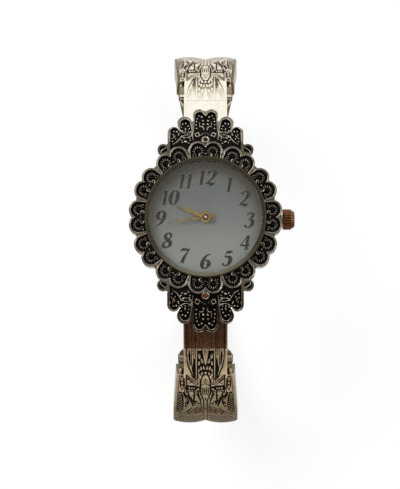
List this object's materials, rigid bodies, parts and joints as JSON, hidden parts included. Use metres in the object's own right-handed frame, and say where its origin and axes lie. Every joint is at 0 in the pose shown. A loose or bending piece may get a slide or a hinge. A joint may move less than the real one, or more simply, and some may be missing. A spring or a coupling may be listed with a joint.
{
  "type": "bangle watch",
  "caption": "Small quartz bangle watch: round case in a scalloped ornamental frame with two fans, on a hinged open cuff of two sprung arms.",
  "frame": {"origin": "middle of the case back's outer flat face, on the hands' axis", "axes": "+Z out of the dial, +Y towards 12 o'clock, +X towards the crown at 3 o'clock"},
  "size_m": [0.0271, 0.066, 0.0557],
  "materials": {
    "dark_silver": "antique silver plating with black patina in the recesses",
    "cuff_silver": "polished warm silver plating with dark patina in the relief",
    "case_metal": "polished silver-plated zinc alloy",
    "bezel_metal": "satin olive-grey metal",
    "crystal_glass": "clear mineral glass",
    "gasket_white": "white nylon",
    "gasket_black": "black nitrile rubber",
    "dial_face": "pale pearly lacquer with dark brown numerals",
    "back_steel": "brushed stainless steel",
    "tube_steel": "turned stainless steel",
    "holder_plastic": "white moulded acetal",
    "movement_brass": "gilt brass",
    "wheel_brass": "polished brass",
    "screw_steel": "polished steel",
    "board_green": "green solder mask",
    "stator_steel": "soft magnetic alloy",
    "copper_wire": "enamelled copper wire",
    "battery_steel": "nickel-plated steel can",
    "rotor_magnet": "sintered magnet on a steel arbor",
    "hand_gold": "polished gilt brass",
    "cap_brown": "brown gilt brass with a polished centre",
    "crown_rose": "rose-gold plating",
    "spring_steel": "hardened spring steel"
  },
  "bodies": {
    "case": {"case_body": "case_metal", "ornamental_frame": "dark_silver", "bezel_ring": "bezel_metal", "crystal": "crystal_glass", "crystal_gasket": "gasket_white", "dial": "dial_face", "case_back": "back_steel", "back_gasket": "gasket_black", "case_tube": "tube_steel", "movement_holder": "holder_plastic", "main_plate": "movement_brass", "train_bridge": "movement_brass", "bridge_screws": "screw_steel", "circuit_board": "board_green", "stator": "stator_steel", "coil_core": "stator_steel", "coil_winding": "copper_wire", "battery": "battery_steel", "battery_clamp": "movement_brass", "upper_bar": "cuff_silver", "lower_bar": "cuff_silver", "bar_screws": "screw_steel"},
    "upper_arm": {"upper_arm": "cuff_silver", "upper_hinge_pin": "screw_steel", "upper_hinge_spring": "spring_steel"},
    "lower_arm": {"lower_arm": "cuff_silver", "lower_hinge_pin": "screw_steel", "lower_hinge_spring": "spring_steel"},
    "minute_hand": {"minute_hand": "hand_gold", "hand_cap": "cap_brown", "cannon_pinion": "wheel_brass", "centre_wheel": "wheel_brass"},
    "hour_hand": {"hour_hand": "hand_gold", "hour_wheel": "wheel_brass"},
    "minute_wheel": {"minute_wheel": "wheel_brass"},
    "third_wheel": {"third_wheel": "wheel_brass"},
    "rotor": {"rotor": "rotor_magnet"},
    "crown_slide": {"crown_gasket": "gasket_black"},
    "crown": {"crown": "crown_rose", "stem": "screw_steel"},
    "setting_lever": {"setting_lever": "screw_steel"}
  },
  "joints": [
    {"name": "upper_arm_open", "type": "hinge", "parent": "case", "child": "upper_arm", "pos_m": [0, 0.0224, -0.00636], "axis": [1, 0, 0], "range_deg": [0, 25], "stiffness_Nm_per_rad": 0.12, "springref_deg": -17.19, "deforming": ["upper_hinge_spring"]},
    {"name": "lower_arm_open", "type": "hinge", "parent": "case", "child": "lower_arm", "pos_m": [0, -0.0224, -0.00636], "axis": [-1, 0, 0], "range_deg": [0, 25], "stiffness_Nm_per_rad": 0.12, "springref_deg": -17.19, "deforming": ["lower_hinge_spring"]},
    {"name": "minute_hand_turn", "type": "hinge", "parent": "case", "child": "minute_hand", "pos_m": [0, 0, 0.004], "axis": [0, 0, -1], "continuous": true},
    {"name": "hour_hand_turn", "type": "hinge", "parent": "case", "child": "hour_hand", "pos_m": [0, 0, 0.004], "axis": [0, 0, -1], "continuous": true},
    {"name": "minute_wheel_turn", "type": "hinge", "parent": "case", "child": "minute_wheel", "pos_m": [0.00161, -0.00145, 0.004], "axis": [0, 0, -1], "continuous": true},
    {"name": "third_wheel_turn", "type": "hinge", "parent": "case", "child": "third_wheel", "pos_m": [-0.00044, 0.00251, 0.004], "axis": [0, 0, -1], "continuous": true},
    {"name": "rotor_turn", "type": "hinge", "parent": "case", "child": "rotor", "pos_m": [0.00067, 0.00428, 0.004], "axis": [0, 0, -1], "continuous": true},
    {"name": "crown_pull", "type": "slide", "parent": "case", "child": "crown_slide", "axis": [1, 0, 0], "range_m": [0, 0.0009]},
    {"name": "crown_turn", "type": "hinge", "parent": "crown_slide", "child": "crown", "pos_m": [0.013, 0, 0.0019], "axis": [1, 0, 0], "continuous": true},
    {"name": "setting_lever_swing", "type": "hinge", "parent": "case", "child": "setting_lever", "pos_m": [0.0052, -0.0026, 0.0013], "axis": [0, 0, -1], "range_deg": [0, 21.55]}
  ],
  "couplings": [
    {"joint": "hour_hand_turn", "follows": "minute_hand_turn", "ratio": 0.083333},
    {"joint": "minute_wheel_turn", "follows": "minute_hand_turn", "ratio": -0.33333},
    {"joint": "third_wheel_turn", "follows": "minute_hand_turn", "ratio": -7.5},
    {"joint": "rotor_turn", "follows": "minute_hand_turn", "ratio": 45},
    {"joint": "setting_lever_swing", "follows": "crown_pull", "rad_per_m": 392.74}
  ]
}
